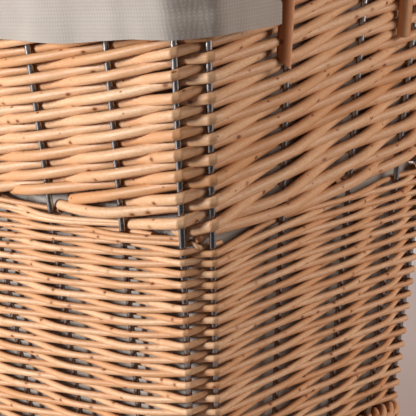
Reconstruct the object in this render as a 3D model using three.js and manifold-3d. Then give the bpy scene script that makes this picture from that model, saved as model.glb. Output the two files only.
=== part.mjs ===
// Rectangular wicker laundry basket: a tapered frame of bare steel wire stakes, a close weave of thin
// willow below, a bolder weave of thick willow above, a wrapped rim and foot, two arched handles and
// a loose cloth liner that folds over the rim. Millimetres, +Z up, the long way along X, origin on the
// floor under the middle of the basket.

import * as THREE from 'three';
import { mergeVertices } from 'three/addons/utils/BufferGeometryUtils.js';
import Module from 'manifold-3d';

const wasm = await Module();
wasm.setup();

// Overall sizes, taken at the centre line of the wire stakes
const rimHeight = 420;
const rimWidth = 515;
const rimDepth = 327;
const cornerCut = 16;
const baseShare = 0.733;
const seamHeight = 215;
const seamGap = 5;

// Wire frame
const stakeWire = 4.5;
const ringWire = 5;
const longWallStakes = [0, 0.126, 0.2855, 0.4285, 0.5715, 0.7145, 0.874, 1];
const shortWallStakes = [0, 0.292, 0.606, 0.856, 1];
const crossWireCount = 4;

// Willow: a layer is less than a rod is thick, because rods are beaten down into their neighbours' bends
const thickRod = 7;
const thickLayer = 6.6;
const thinRod = 4.7;
const thinLayer = 4.4;
const baseRod = 3.6;
const footHeight = 15;
const footThickness = 21;
const borderHeight = 25;
const borderThickness = 28;

// Handles
const handleRod = 10;
const handleSpan = 144;
const handleRise = 58;
const handleTuck = 100;
const wrapThickness = 3.2;
const wrapFoot = 9;
const wrapTurns = 24;
const wrapGroove = 0.9;

// Liner
const clothThickness = 1.5;
const cuffDrop = 72;
const cuffNotchMargin = 9;
const linerEase = 0.9;

// Fits
const seat = 0.3;
const leastCover = 0.5;

// Smoothness of round forms
const cornerSteps = 3;
const wireSides = 8;
const channelSides = 6;
const slotSides = 4;
const borderSides = 12;
const rodSides = 10;
const handleSteps = 28;
const wrapSides = 8;

// Heights that follow from the sizes above
const footRingHeight = footHeight - ringWire / 2;
const rimRingHeight = rimHeight - borderHeight / 2;
const borderFloor = rimHeight - borderHeight;
const lowerFloor = footHeight + seat;
const lowerTop = seamHeight - seamGap / 2;
const upperFloor = seamHeight + seamGap / 2;
const upperTop = borderFloor - seat;
const baseHalfThickness = ringWire / 2 + baseRod;
const baseTop = footRingHeight + baseHalfThickness;
const thickWall = stakeWire / 2 + thickRod;
const thinWall = stakeWire / 2 + thinRod;

const steel = { color: 0x56595c, roughness: 0.38, metalness: 0.9 };
const thickWillow = { color: 0xd9a878, roughness: 0.6, metalness: 0 };
const thinWillow = { color: 0xd3a074, roughness: 0.6, metalness: 0 };
const wrapWillow = { color: 0xc9935f, roughness: 0.6, metalness: 0 };
const cloth = { color: 0x8c8378, roughness: 0.95, metalness: 0 };

// Joins and cuts

function toSolid(geometry) {
  const bare = geometry.clone();
  bare.deleteAttribute('normal');
  bare.deleteAttribute('uv');
  const merged = mergeVertices(bare, 1e-4);
  return new wasm.Manifold(new wasm.Mesh({
    numProp: 3,
    vertProperties: new Float32Array(merged.attributes.position.array),
    triVerts: new Uint32Array(merged.index.array),
  }));
}

function toGeometry(solid) {
  const mesh = solid.getMesh();
  const geometry = new THREE.BufferGeometry();
  geometry.setAttribute('position', new THREE.BufferAttribute(mesh.vertProperties, 3));
  geometry.setIndex(new THREE.BufferAttribute(mesh.triVerts, 1));
  geometry.computeVertexNormals();
  return geometry;
}

function cutAll(geometry, tools) {
  let solid = toSolid(geometry);
  for (const tool of tools) {
    solid = solid.subtract(toSolid(tool));
  }
  return solid;
}

// The tapered outline: every wall line runs to one point far below the floor

function scaleAt(z) {
  return baseShare + (1 - baseShare) * z / rimHeight;
}

function halfWidthAt(z) {
  return rimWidth / 2 * scaleAt(z);
}

function halfDepthAt(z) {
  return rimDepth / 2 * scaleAt(z);
}

// Corner stakes in order round the basket from the front wall's left end, seen from above
function cornersAt(z) {
  const w = halfWidthAt(z);
  const d = halfDepthAt(z);
  const c = cornerCut * scaleAt(z);
  return [
    [-w + c, -d], [w - c, -d], [w, -d + c], [w, d - c],
    [w - c, d], [-w + c, d], [-w, d - c], [-w, -d + c],
  ].map(([x, y]) => new THREE.Vector2(x, y));
}

// Points of the outline at one height, set off outwards and rounded at its eight bends
function outlineAt(z, offset) {
  const corners = cornersAt(z);
  const radius = Math.max(offset, 1.5);
  const points = [];
  for (let i = 0; i < corners.length; i += 1) {
    const before = corners[(i + corners.length - 1) % corners.length];
    const here = corners[i];
    const after = corners[(i + 1) % corners.length];
    const into = here.clone().sub(before).normalize();
    const out = after.clone().sub(here).normalize();
    const firstNormal = new THREE.Vector2(into.y, -into.x);
    const lastNormal = new THREE.Vector2(out.y, -out.x);
    const mitre = firstNormal.clone().add(lastNormal).divideScalar(1 + firstNormal.dot(lastNormal));
    const centre = here.clone().addScaledVector(mitre, offset - radius);
    const startAngle = firstNormal.angle();
    const turn = Math.atan2(into.cross(out), into.dot(out));
    for (let step = 0; step < cornerSteps; step += 1) {
      const angle = startAngle + turn * step / (cornerSteps - 1);
      points.push(new THREE.Vector3(
        centre.x + radius * Math.cos(angle), centre.y + radius * Math.sin(angle), z));
    }
  }
  return points;
}

// A closed profile of [offset, height] points, anticlockwise, carried once round the outline
function roundTheBasket(profile) {
  const rings = profile.map(([offset, z]) => outlineAt(z, offset));
  const across = rings[0].length;
  const positions = rings.flat().flatMap((p) => [p.x, p.y, p.z]);
  const index = [];
  for (let j = 0; j < rings.length; j += 1) {
    const next = (j + 1) % rings.length;
    for (let i = 0; i < across; i += 1) {
      const side = (i + 1) % across;
      const a = j * across + i;
      const b = j * across + side;
      const c = next * across + side;
      const d = next * across + i;
      index.push(a, b, c, a, c, d);
    }
  }
  return indexed(positions, index);
}

function indexed(positions, index) {
  const geometry = new THREE.BufferGeometry();
  geometry.setAttribute('position', new THREE.Float32BufferAttribute(positions, 3));
  geometry.setIndex(index);
  geometry.computeVertexNormals();
  return geometry;
}

// A slab that fills the outline between two heights, each with its own offset
function slab(lowZ, lowOffset, highZ, highOffset) {
  const low = outlineAt(lowZ, lowOffset);
  const high = outlineAt(highZ, highOffset);
  const across = low.length;
  const flat = low.map((p) => new THREE.Vector2(p.x, p.y));
  const faces = THREE.ShapeUtils.triangulateShape(flat, []);
  const index = [];
  for (const [a, b, c] of faces) {
    index.push(c, b, a);
    index.push(a + across, b + across, c + across);
  }
  for (let i = 0; i < across; i += 1) {
    const side = (i + 1) % across;
    index.push(i, side, across + side);
    index.push(i, across + side, across + i);
  }
  return indexed([...low, ...high].flatMap((p) => [p.x, p.y, p.z]), index);
}

// A round or oval section whose points start just outside its lowest place
function roundProfile(offset, z, halfWidth, halfHeight, sides) {
  const points = [];
  for (let i = 0; i < sides; i += 1) {
    const angle = 2 * Math.PI * (i + 0.5) / sides - Math.PI / 2;
    points.push([offset + halfWidth * Math.cos(angle), z + halfHeight * Math.sin(angle)]);
  }
  return points;
}

function rodBetween(from, to, radius, sides) {
  const span = to.clone().sub(from);
  const turn = sides === slotSides ? Math.PI / slotSides : 0;
  const geometry = new THREE.CylinderGeometry(radius, radius, span.length(), sides, 1, false, turn);
  geometry.applyQuaternion(new THREE.Quaternion().setFromUnitVectors(
    new THREE.Vector3(0, 1, 0), span.clone().normalize()));
  const middle = from.clone().add(to).multiplyScalar(0.5);
  geometry.translate(middle.x, middle.y, middle.z);
  return geometry;
}

// Stakes

const wallNames = ['front', 'right', 'back', 'left'];

function stakePointsAt(z) {
  const corners = cornersAt(z);
  const stakes = [];
  wallNames.forEach((wall, side) => {
    const from = corners[side * 2];
    const to = corners[side * 2 + 1];
    const shares = side % 2 === 0 ? longWallStakes : shortWallStakes;
    shares.forEach((share, i) => {
      const spot = from.clone().lerp(to, share);
      stakes.push({ name: `stake_${wall}_${i + 1}`, point: new THREE.Vector3(spot.x, spot.y, z) });
    });
  });
  return stakes;
}

function stakeGeometry(lowZ, highZ, radius, sides) {
  const low = stakePointsAt(lowZ);
  const high = stakePointsAt(highZ);
  return low.map((stake, i) => rodBetween(stake.point, high[i].point, radius, sides));
}

const stakeFloor = footRingHeight + ringWire / 2 + seat;
const stakeTop = rimRingHeight - ringWire / 2 - seat;

function makeStakes() {
  const geometries = stakeGeometry(stakeFloor, stakeTop, stakeWire / 2, wireSides);
  return stakePointsAt(0).map((stake, i) => [stake.name, geometries[i], steel]);
}

// Channels for the stakes, a little longer than the wall that they pass through. The flats of each
// channel stand a seat away from the round wire.
function channelRadius(wire, sides) {
  return (wire / 2 + seat) / Math.cos(Math.PI / sides);
}

function stakeChannels(lowZ, highZ) {
  return stakeGeometry(lowZ, highZ, channelRadius(stakeWire, channelSides), channelSides);
}

// Rings and the wires across the base

function makeRings() {
  const sides = wireSides;
  const half = ringWire / 2;
  return [
    ['foot_ring', roundTheBasket(roundProfile(0, footRingHeight, half, half, sides)), steel],
    ['rim_ring', roundTheBasket(roundProfile(0, rimRingHeight, half, half, sides)), steel],
  ];
}

function crossWires(radius, reach, sides) {
  const halfSpan = halfWidthAt(footRingHeight) - ringWire / 2 + reach;
  const straight = 2 * (halfDepthAt(footRingHeight) - cornerCut);
  const wires = [];
  for (let i = 0; i < crossWireCount; i += 1) {
    const y = straight * ((i + 0.5) / crossWireCount - 0.5);
    const from = new THREE.Vector3(-halfSpan, y, footRingHeight);
    const to = new THREE.Vector3(halfSpan, y, footRingHeight);
    wires.push(rodBetween(from, to, radius, sides));
  }
  return wires;
}

function makeCrossWires() {
  const wires = crossWires(stakeWire / 2, -seat, wireSides);
  return wires.map((wire, i) => [`base_wire_${i + 1}`, wire, steel]);
}

function crossWireChannels() {
  return crossWires(channelRadius(stakeWire, channelSides), 1, channelSides);
}

// Handles: a bent rod whose legs are tucked down into the upper weave, just outside the rim ring

const handleOffset = ringWire / 2 + handleRod / 2 + 2 * seat;
const handleSides = [['right', 1], ['left', -1]];

function handlePoint(side, y, z) {
  return new THREE.Vector3(side * (halfWidthAt(z) + handleOffset), y, z);
}

function handlePath(side, extra) {
  const spring = rimHeight;
  const lift = handleRise - handleRod / 2 - wrapThickness;
  const half = handleSpan / 2;
  const at = (y, z) => handlePoint(side, y, z);
  const path = new THREE.CurvePath();
  const low = rimHeight - handleTuck - extra;
  path.add(new THREE.LineCurve3(at(-half, low), at(-half, spring)));
  const bow = lift * 1.1;
  const top = spring + lift;
  path.add(new THREE.CubicBezierCurve3(
    at(-half, spring), at(-half, spring + bow * 0.6), at(-half * 0.62, top), at(0, top)));
  path.add(new THREE.CubicBezierCurve3(
    at(0, top), at(half * 0.62, top), at(half, spring + bow * 0.6), at(half, spring)));
  path.add(new THREE.LineCurve3(at(half, spring), at(half, low)));
  return path;
}

// Part of a longer curve, so that the wrapping keeps to the rod that it is wound on
class Stretch extends THREE.Curve {
  constructor(curve, from, to) {
    super();
    this.curve = curve;
    this.from = from;
    this.to = to;
  }

  getPoint(t, target = new THREE.Vector3()) {
    return target.copy(this.curve.getPointAt(this.from + (this.to - this.from) * t));
  }
}

function circleShape(radius) {
  const shape = new THREE.Shape();
  shape.absarc(0, 0, radius, 0, 2 * Math.PI, false);
  return shape;
}

function sweptTube(path, radius, steps) {
  return new THREE.ExtrudeGeometry(circleShape(radius), {
    extrudePath: path, steps, bevelEnabled: false, curveSegments: rodSides / 2,
  });
}

function handleRodTube(side, radius, extra) {
  return sweptTube(handlePath(side, extra), radius, handleSteps);
}

// The wrapping is a split rod wound turn against turn, so it swells over each turn and narrows between
function handleWrap(side) {
  const path = handlePath(side, 0);
  const length = path.getLength();
  const bare = (handleTuck + wrapFoot) / length;
  const stretch = new Stretch(path, bare, 1 - bare);
  const rings = 2 * wrapTurns;
  const frames = stretch.computeFrenetFrames(rings, false);
  const positions = [];
  const index = [];
  for (let j = 0; j <= rings; j += 1) {
    const radius = handleRod / 2 + wrapThickness - (j % 2 === 0 ? wrapGroove : 0);
    const centre = stretch.getPointAt(j / rings);
    for (let i = 0; i < wrapSides; i += 1) {
      const angle = 2 * Math.PI * i / wrapSides;
      const spot = centre.clone()
        .addScaledVector(frames.normals[j], radius * Math.cos(angle))
        .addScaledVector(frames.binormals[j], radius * Math.sin(angle));
      positions.push(spot.x, spot.y, spot.z);
      if (j < rings) {
        const a = j * wrapSides + i;
        const b = j * wrapSides + (i + 1) % wrapSides;
        index.push(a, b, b + wrapSides, a, b + wrapSides, a + wrapSides);
      }
    }
  }
  const last = rings * wrapSides;
  for (let i = 2; i < wrapSides; i += 1) {
    index.push(0, i, i - 1, last, last + i - 1, last + i);
  }
  const sleeve = indexed(positions, index);
  return toGeometry(cutAll(sleeve, [handleRodTube(side, handleRod / 2 + seat, 0)]));
}

function makeHandles() {
  return handleSides.flatMap(([name, side]) => [
    [`handle_${name}`, handleRodTube(side, handleRod / 2, 0), thickWillow],
    [`handle_wrap_${name}`, handleWrap(side), wrapWillow],
  ]);
}

function handleChannels() {
  return handleSides.map(([, side]) => handleRodTube(side, handleRod / 2 + seat, 1));
}

// The rods of the weave part round a handle's leg and leave it a square slot
function handleSlots() {
  const radius = channelRadius(handleRod, slotSides);
  return handleSides.flatMap(([, side]) => [-1, 1].map((end) => {
    const y = end * handleSpan / 2;
    return rodBetween(
      handlePoint(side, y, rimHeight - handleTuck - seat), handlePoint(side, y, rimHeight), radius, slotSides);
  }));
}

// Woven willow. Every layer swells out over a stake that its rod passes in front of, and draws in over a
// stake that it passes behind. In plain randing a rod stays in its layer. In French randing it climbs
// one layer from each stake to the next, so all stakes show the same layers.

function outwardAt(stakes, i) {
  const before = stakes[(i + stakes.length - 1) % stakes.length].point;
  const here = stakes[i].point;
  const after = stakes[(i + 1) % stakes.length].point;
  const along = here.clone().sub(before).normalize().add(after.clone().sub(here).normalize());
  return new THREE.Vector3(along.y, -along.x, 0).normalize();
}

function ringRoundStakes(z, offsetOf) {
  const stakes = stakePointsAt(z);
  return stakes.map(({ point }, i) => point.clone().addScaledVector(outwardAt(stakes, i), offsetOf(i)));
}

function wovenWall(lowZ, highZ, layer, halfThickness, climbs) {
  const layers = 2 * Math.round((highZ - lowZ) / layer / 2);
  const drawnIn = channelRadius(stakeWire, channelSides) + leastCover;
  const inFront = (k, i) => (climbs ? k : k + i) % 2 === 1;
  const rings = [];
  for (let k = 0; k <= layers; k += 1) {
    const z = lowZ + (highZ - lowZ) * k / layers;
    rings.push(ringRoundStakes(z, (i) => (inFront(k, i) ? halfThickness : drawnIn)));
  }
  rings.push(ringRoundStakes(highZ, () => -halfThickness));
  rings.push(ringRoundStakes(lowZ, () => -halfThickness));
  const across = rings[0].length;
  const at = (k, i) => (k % rings.length) * across + i % across;
  const index = [];
  for (let i = 0; i < across; i += 1) {
    // The folds run between points that are drawn in, along the edges of the rods
    for (let k = 0; climbs && k < layers; k += 2) {
      index.push(at(k, i), at(k, i + 1), at(k + 1, i + 1), at(k, i), at(k + 1, i + 1), at(k + 2, i + 1));
      index.push(at(k, i), at(k + 2, i + 1), at(k + 1, i), at(k + 1, i), at(k + 2, i + 1), at(k + 2, i));
    }
    for (let k = climbs ? layers : 0; k < rings.length; k += 1) {
      if (k < layers && inFront(k, i)) {
        index.push(at(k, i), at(k, i + 1), at(k + 1, i), at(k, i + 1), at(k + 1, i + 1), at(k + 1, i));
      } else {
        index.push(at(k, i), at(k, i + 1), at(k + 1, i + 1), at(k, i), at(k + 1, i + 1), at(k + 1, i));
      }
    }
  }
  return indexed(rings.flat().flatMap((p) => [p.x, p.y, p.z]), index);
}

function makeLowerWeave() {
  const wall = wovenWall(lowerFloor, lowerTop, thinLayer, thinWall, false);
  return toGeometry(cutAll(wall, stakeChannels(lowerFloor - 1, lowerTop + 1)));
}

function makeUpperWeave() {
  const wall = wovenWall(upperFloor, upperTop, thickLayer, thickWall, true);
  return toGeometry(cutAll(wall, [...stakeChannels(upperFloor - 1, upperTop + 1), ...handleSlots()]));
}

// The borders hold their ring and the stakes' ends between an inner and an outer bundle of rods, in a
// slot that is open towards the weave

const slotHalf = ringWire / 2 + seat;

function makeRimBorder() {
  const oval = roundProfile(0, rimRingHeight, borderThickness / 2, borderHeight / 2, borderSides);
  const lowest = oval[0][1];
  const slotTop = rimRingHeight + slotHalf;
  const slot = [[-slotHalf, lowest], [-slotHalf, slotTop], [slotHalf, slotTop], [slotHalf, lowest]];
  return toGeometry(cutAll(roundTheBasket([...oval, ...slot]), handleChannels()));
}

function makeFootBorder() {
  const half = footThickness / 2;
  const edge = 4;
  const slotFloor = footRingHeight - slotHalf;
  const profile = [
    [-half, edge], [-half + edge, 0], [half - edge, 0], [half, edge],
    [half, footHeight - edge], [half - edge, footHeight],
    [slotHalf, footHeight], [slotHalf, slotFloor], [-slotHalf, slotFloor], [-slotHalf, footHeight],
    [-half, footHeight],
  ];
  return toGeometry(cutAll(roundTheBasket(profile), crossWireChannels()));
}

function makeBaseWeave() {
  const reach = -footThickness / 2 - seat;
  const low = footRingHeight - baseHalfThickness;
  const mat = slab(low, reach, baseTop, reach);
  return toGeometry(cutAll(mat, crossWireChannels()));
}

// Liner: a tapered bag that stands on the base and folds down over the rim, with a gap in its cuff
// at each handle

function makeLiner() {
  const inside = -thickWall - linerEase;
  const rimInside = -borderThickness / 2 - seat;
  const rimOutside = borderThickness / 2 + seat;
  const floor = baseTop + seat;
  const overTop = rimHeight + seat;
  const shoulder = borderFloor - 12;
  const cuffFloor = rimHeight - cuffDrop;
  const t = clothThickness;
  const profile = [
    [inside - t, floor], [inside, floor], [inside, shoulder], [rimInside, borderFloor],
    [rimInside, overTop], [rimOutside, overTop], [rimOutside, cuffFloor], [rimOutside + t, cuffFloor],
    [rimOutside + t, overTop + t], [rimInside - t, overTop + t], [rimInside - t, borderFloor],
    [inside - t, shoulder],
  ];
  const wall = toSolid(roundTheBasket(profile));
  const floorPanel = toSolid(slab(floor, inside - t / 2, floor + t, inside - t / 2));
  const notchHalf = handleSpan / 2 + handleRod / 2 + wrapThickness + cuffNotchMargin;
  const innerFace = halfWidthAt(cuffFloor) - borderThickness / 2;
  const reach = 2 * (rimWidth / 2 - innerFace) + borderThickness;
  let liner = wall.add(floorPanel);
  for (const [, side] of handleSides) {
    const notch = new THREE.BoxGeometry(reach, 2 * notchHalf, cuffDrop + 40);
    notch.translate(side * (halfWidthAt(rimHeight) + rimInside + seat / 2 + reach / 2), 0,
      cuffFloor - 10 + (cuffDrop + 40) / 2);
    liner = liner.subtract(toSolid(notch));
  }
  return toGeometry(liner);
}

// Assembly

function addPiece(group, [name, geometry, finish]) {
  const mesh = new THREE.Mesh(geometry, new THREE.MeshStandardMaterial(finish));
  mesh.name = name;
  group.add(mesh);
}

const basket = new THREE.Group();
const pieces = [
  ...makeStakes(),
  ...makeRings(),
  ...makeCrossWires(),
  ['foot_border', makeFootBorder(), thinWillow],
  ['base_weave', makeBaseWeave(), thinWillow],
  ['lower_weave', makeLowerWeave(), thinWillow],
  ['upper_weave', makeUpperWeave(), thickWillow],
  ['rim_border', makeRimBorder(), thickWillow],
  ...makeHandles(),
  ['liner', makeLiner(), cloth],
];
pieces.forEach((piece) => addPiece(basket, piece));

export default basket;
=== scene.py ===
"""Rectangular wicker laundry basket: willow rods woven on a bare wire frame, with a loose cotton liner.

The frame gives the wires, rings, borders, handles and liner their places. This script weaves the real
rods round the wires, wraps the borders and handles, hangs the liner and sets up a plain studio.
"""

import math
import random

import bpy
import numpy as np
from mathutils import Matrix, Vector, noise


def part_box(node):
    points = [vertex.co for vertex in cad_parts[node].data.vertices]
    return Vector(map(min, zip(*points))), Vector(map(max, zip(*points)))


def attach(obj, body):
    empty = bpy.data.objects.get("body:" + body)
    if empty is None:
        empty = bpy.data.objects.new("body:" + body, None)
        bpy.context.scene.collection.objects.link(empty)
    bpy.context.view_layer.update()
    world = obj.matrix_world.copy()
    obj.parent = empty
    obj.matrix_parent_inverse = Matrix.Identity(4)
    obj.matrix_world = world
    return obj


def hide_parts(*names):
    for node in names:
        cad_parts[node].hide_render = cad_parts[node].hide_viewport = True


bl_info = {
    "name": "Wicker Laundry Basket",
    "version": (1, 0, 0),
    "blender": (4, 5, 0),
    "location": "View3D > Sidebar > Basket",
    "description": "Weaves a tapered willow laundry basket round its wire frame",
    "category": "Add Mesh",
}

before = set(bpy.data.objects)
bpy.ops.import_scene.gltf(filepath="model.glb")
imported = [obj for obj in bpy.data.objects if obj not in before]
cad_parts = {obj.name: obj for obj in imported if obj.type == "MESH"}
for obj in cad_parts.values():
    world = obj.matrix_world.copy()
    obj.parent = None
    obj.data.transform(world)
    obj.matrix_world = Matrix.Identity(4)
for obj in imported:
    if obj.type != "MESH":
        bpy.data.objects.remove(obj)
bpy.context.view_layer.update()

MM = 0.001

# Stakes in order round the basket, anticlockwise seen from above, from the front wall's left end.
# The photographed corner lies between stake 7, the last of the front wall, and stake 8.
FRONT_SHARES = (0, 0.126, 0.2855, 0.4285, 0.5715, 0.7145, 0.874, 1)
SIDE_SHARES = (0, 0.292, 0.606, 0.856, 1)
STAKES = [(wall, i) for wall, count in (("front", 8), ("right", 5), ("back", 8), ("left", 5))
          for i in range(1, count + 1)]
STAKE_COUNT = len(STAKES)
CORNER_STAKES = (0, 7, 8, 12, 13, 20, 21, 25)


def hex_colour(code):
    """An sRGB hex colour as linear RGBA."""
    values = [int(code[i:i + 2], 16) / 255 for i in (1, 3, 5)]
    linear = [v / 12.92 if v <= 0.04045 else ((v + 0.055) / 1.055) ** 2.4 for v in values]
    return (*linear, 1.0)


def length(name, description, default):
    """A size in metres that a user can change."""
    return bpy.props.FloatProperty(name=name, description=description, default=default, unit="LENGTH")


def tint(name, description, code):
    """A colour that a user can change."""
    return bpy.props.FloatVectorProperty(
        name=name, description=description, default=hex_colour(code), size=4, subtype="COLOR")


class BasketSizes(bpy.types.PropertyGroup):
    """Sizes of the basket, taken at the centre line of the stakes."""

    rim_height: length("Rim height", "Floor to the top of the rim border", 0.42)
    rim_width: length("Rim width", "Long way across the rim", 0.515)
    rim_depth: length("Rim depth", "Short way across the rim", 0.327)
    corner_cut: length("Corner cut", "How far the cut corner reaches along each wall", 0.016)
    base_share: bpy.props.FloatProperty(
        name="Base share", description="Width at the floor as a share of the rim's", default=0.733,
        subtype="FACTOR")
    seam_height: length("Seam height", "Where the thick weave begins at the front corner", 0.2144)
    wire: length("Wire", "Diameter of a stake", 0.0045)
    thick_rod: length("Thick rod", "Diameter of an upper rod at its butt", 0.0076)
    thin_rod: length("Thin rod", "Diameter of a lower rod", 0.0047)
    base_rod: length("Base rod", "Diameter of a rod of the base mat", 0.0036)
    handle_rod: length("Handle rod", "Diameter of the handle's core", 0.010)
    handle_span: length("Handle span", "Between the centres of a handle's legs", 0.144)
    handle_rise: length("Handle rise", "Rim to the top of the handle", 0.058)
    handle_tuck: length("Handle tuck", "How far the legs reach below the rim", 0.10)
    wrap: length("Wrapping", "Thickness of the wound skein", 0.0032)
    cuff_drop: length("Cuff drop", "How far the liner folds down over the rim", 0.072)
    cloth: length("Cloth", "Thickness of the liner's cotton", 0.0012)


class BasketColours(bpy.types.PropertyGroup):
    """Colours of the basket's finishes."""

    willow: tint("Willow", "Peeled willow in its common tone", "#DDB088")
    willow_pale: tint("Pale willow", "The palest rods", "#E6C09A")
    willow_deep: tint("Deep willow", "Orange tan of the rods boiled longest", "#CF9A6C")
    steel: tint("Steel", "Bare drawn wire", "#B4B8BC")
    cotton: tint("Cotton", "Grey-brown liner", "#A9A19A")


def sizes():
    return bpy.context.scene.basket_sizes


def colours():
    return bpy.context.scene.basket_colours


# The tapered outline

def scale_at(z):
    s = sizes()
    return s.base_share + (1 - s.base_share) * z / s.rim_height


def corners_at(z):
    """The eight corner stakes' places at one height, anticlockwise from the front wall's left end."""
    s = sizes()
    w = s.rim_width / 2 * scale_at(z)
    d = s.rim_depth / 2 * scale_at(z)
    c = s.corner_cut * scale_at(z)
    return [Vector(p) for p in ((-w + c, -d), (w - c, -d), (w, -d + c), (w, d - c),
                                (w - c, d), (-w + c, d), (-w, d - c), (-w, -d + c))]


def stake_at(number, z):
    """Place of a stake's centre line at one height; number may run past a full turn."""
    wall, i = STAKES[number % STAKE_COUNT]
    side = ("front", "right", "back", "left").index(wall)
    shares = SIDE_SHARES if side % 2 else FRONT_SHARES
    corners = corners_at(z)
    spot = corners[2 * side].lerp(corners[2 * side + 1], shares[i - 1])
    return Vector((spot.x, spot.y, z))


def outward_at(number):
    """Level direction that points straight out of the wall at a stake."""
    z = sizes().seam_height
    here = stake_at(number, z)
    into = (here - stake_at(number - 1, z)).normalized()
    out = (stake_at(number + 1, z) - here).normalized()
    along = (into + out).normalized()
    return Vector((along.y, -along.x, 0))


def rounded_outline(z, offset, count):
    """Evenly spaced points of the outline at one height, set off outwards and rounded at its bends."""
    corners = corners_at(z)
    radius = max(offset, 1.5 * MM)
    points = []
    for i, here in enumerate(corners):
        into = (here - corners[i - 1]).normalized()
        out = (corners[(i + 1) % 8] - here).normalized()
        first = Vector((into.y, -into.x))
        last = Vector((out.y, -out.x))
        mitre = (first + last) / (1 + first.dot(last))
        centre = here + mitre * (offset - radius)
        start = math.atan2(first.y, first.x)
        turn = math.atan2(into.x * out.y - into.y * out.x, into.dot(out))
        for step in range(5):
            angle = start + turn * step / 4
            points.append(np.array((centre.x + radius * math.cos(angle),
                                    centre.y + radius * math.sin(angle), z)))
    ring = np.array(points + points[:1])
    return resample(ring, count + 1)[:-1]


def run_lengths(points):
    """Distance along a path to each of its points."""
    return np.concatenate(([0], np.cumsum(np.linalg.norm(np.diff(points, axis=0), axis=1))))


def unit(vectors):
    return vectors / np.linalg.norm(vectors, axis=1)[:, None]


def along_path(marks, lengths, *fields):
    """Each field of a path's points, read at marks along its length."""
    return [np.stack([np.interp(marks, lengths, field[:, i]) for i in range(field.shape[1])], 1)
            for field in fields]


def resample(points, count):
    """Evenly spaced points along a path."""
    lengths = run_lengths(points)
    return along_path(np.linspace(0, lengths[-1], count), lengths, points)[0]


# Rods: tubes along a path, with their butt and tip cut at a slant

# A rod's depth at a sharp kink as a share of its full depth
PRESSED = 0.74


class RodBundle:
    """Collects many rods as one mesh with a UV map in metres and the attributes that willow reads."""

    def __init__(self, seed):
        self.random = random.Random(seed)
        self.vertices = []
        self.faces = []
        self.uvs = []
        self.tones = []
        self.places = []
        self.cuts = []
        self.count = 0

    def add(self, points, radii, sides, across=Vector((0, 0, 1)), flatten=1.0, tone=None, kinks=None):
        """A rod along points with a radius at each; flatten is its depth as a share of its height, and
        kinks gives the direction that a ring faces where the rod is sharply bent."""
        points = np.asarray(points, float)
        tangents = np.gradient(points, axis=0)
        depth = np.full(len(points), flatten)
        for i, facing in (kinks or {}).items():
            tangents[i] = facing
            depth[i] *= PRESSED
        tangents = unit(tangents)
        outward = unit(np.cross(tangents, np.broadcast_to(np.asarray(across, float), points.shape)))
        upward = np.cross(outward, tangents)
        along = run_lengths(points)
        start = self.random.uniform(0, 40)
        tone = self.random.random() if tone is None else tone
        # The map's seam lies on the inner side, and each end is cut at its own slant
        angles = math.pi + np.arange(sides) * 2 * math.pi / sides
        last = len(points) - 1
        rings = [(0, 0.0, 1), (0, 0.86, 1)]
        rings += [(i, 1.0, 0) for i in range(len(points))]
        rings += [(last, 0.86, 1), (last, 0.0, 1)]
        slants = {0: self.random.uniform(-0.7, 0.7), last: self.random.uniform(-0.7, 0.7)}
        base = self.count
        for i, share, cut in rings:
            radius = radii[i] * share
            local_out = np.cos(angles) * radius * depth[i]
            local_up = np.sin(angles) * radius
            slip = (local_up + local_out) * slants.get(i, 0)
            self.vertices.append(points[i] + outward[i] * local_out[:, None]
                                 + upward[i] * local_up[:, None] + tangents[i] * slip[:, None])
            self.places.append(np.stack([np.full(sides, along[i] + start), local_out, local_up], 1))
            self.tones.append(np.full(sides, tone))
            self.cuts.append(np.full(sides, float(cut)))
        ring_count = len(rings)
        ring_index = np.arange(ring_count - 1)[:, None] * sides
        side_index = np.arange(sides)[None]
        after = (side_index + 1) % sides
        quads = np.stack([ring_index + side_index, ring_index + after,
                          ring_index + sides + after, ring_index + sides + side_index], -1)
        self.faces.append(quads.reshape(-1, 4) + base)
        u = np.array([along[i] + start for i, _, _ in rings])
        shape = (ring_count - 1, sides)
        low_u = np.broadcast_to(u[:-1, None], shape)
        high_u = np.broadcast_to(u[1:, None], shape)
        low_v = np.broadcast_to(side_index / sides, shape)
        high_v = low_v + 1 / sides
        corners = ((low_u, low_v), (low_u, high_v), (high_u, high_v), (high_u, low_v))
        self.uvs.append(np.stack([np.stack(corner, -1) for corner in corners], 2).reshape(-1, 2))
        self.count += ring_count * sides

    def build(self, name, node, slot):
        """Makes the rods one piece in the place of a CAD node."""
        mesh = bpy.data.meshes.new(name)
        mesh.from_pydata(np.concatenate(self.vertices).tolist(), [], np.concatenate(self.faces).tolist())
        uv_map = mesh.uv_layers.new(name="RodUV")
        uv_map.data.foreach_set("uv", np.concatenate(self.uvs).astype(np.float32).ravel())
        for label, kind, values in (("rod_tone", "FLOAT", self.tones), ("rod_cut", "FLOAT", self.cuts),
                                    ("rod_place", "FLOAT_VECTOR", self.places)):
            attribute = mesh.attributes.new(label, kind, "POINT")
            field = "vector" if kind == "FLOAT_VECTOR" else "value"
            attribute.data.foreach_set(field, np.concatenate(values).astype(np.float32).ravel())
        piece = link_piece(mesh, lambda: bpy.ops.mesh.remove_doubles(threshold=1e-7))
        bpy.ops.object.shade_smooth_by_angle(angle=math.radians(50))
        take_place(piece, node, slot)


def link_piece(mesh, mend):
    """Links a mesh as the one selected object, mends it in edit mode and turns its faces outwards."""
    piece = bpy.data.objects.new(mesh.name, mesh)
    bpy.context.scene.collection.objects.link(piece)
    bpy.ops.object.select_all(action="DESELECT")
    piece.select_set(True)
    bpy.context.view_layer.objects.active = piece
    bpy.ops.object.mode_set(mode="EDIT")
    bpy.ops.mesh.select_all(action="SELECT")
    mend()
    bpy.ops.mesh.select_all(action="SELECT")
    bpy.ops.mesh.normals_make_consistent(inside=False)
    bpy.ops.object.mode_set(mode="OBJECT")
    return piece


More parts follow.
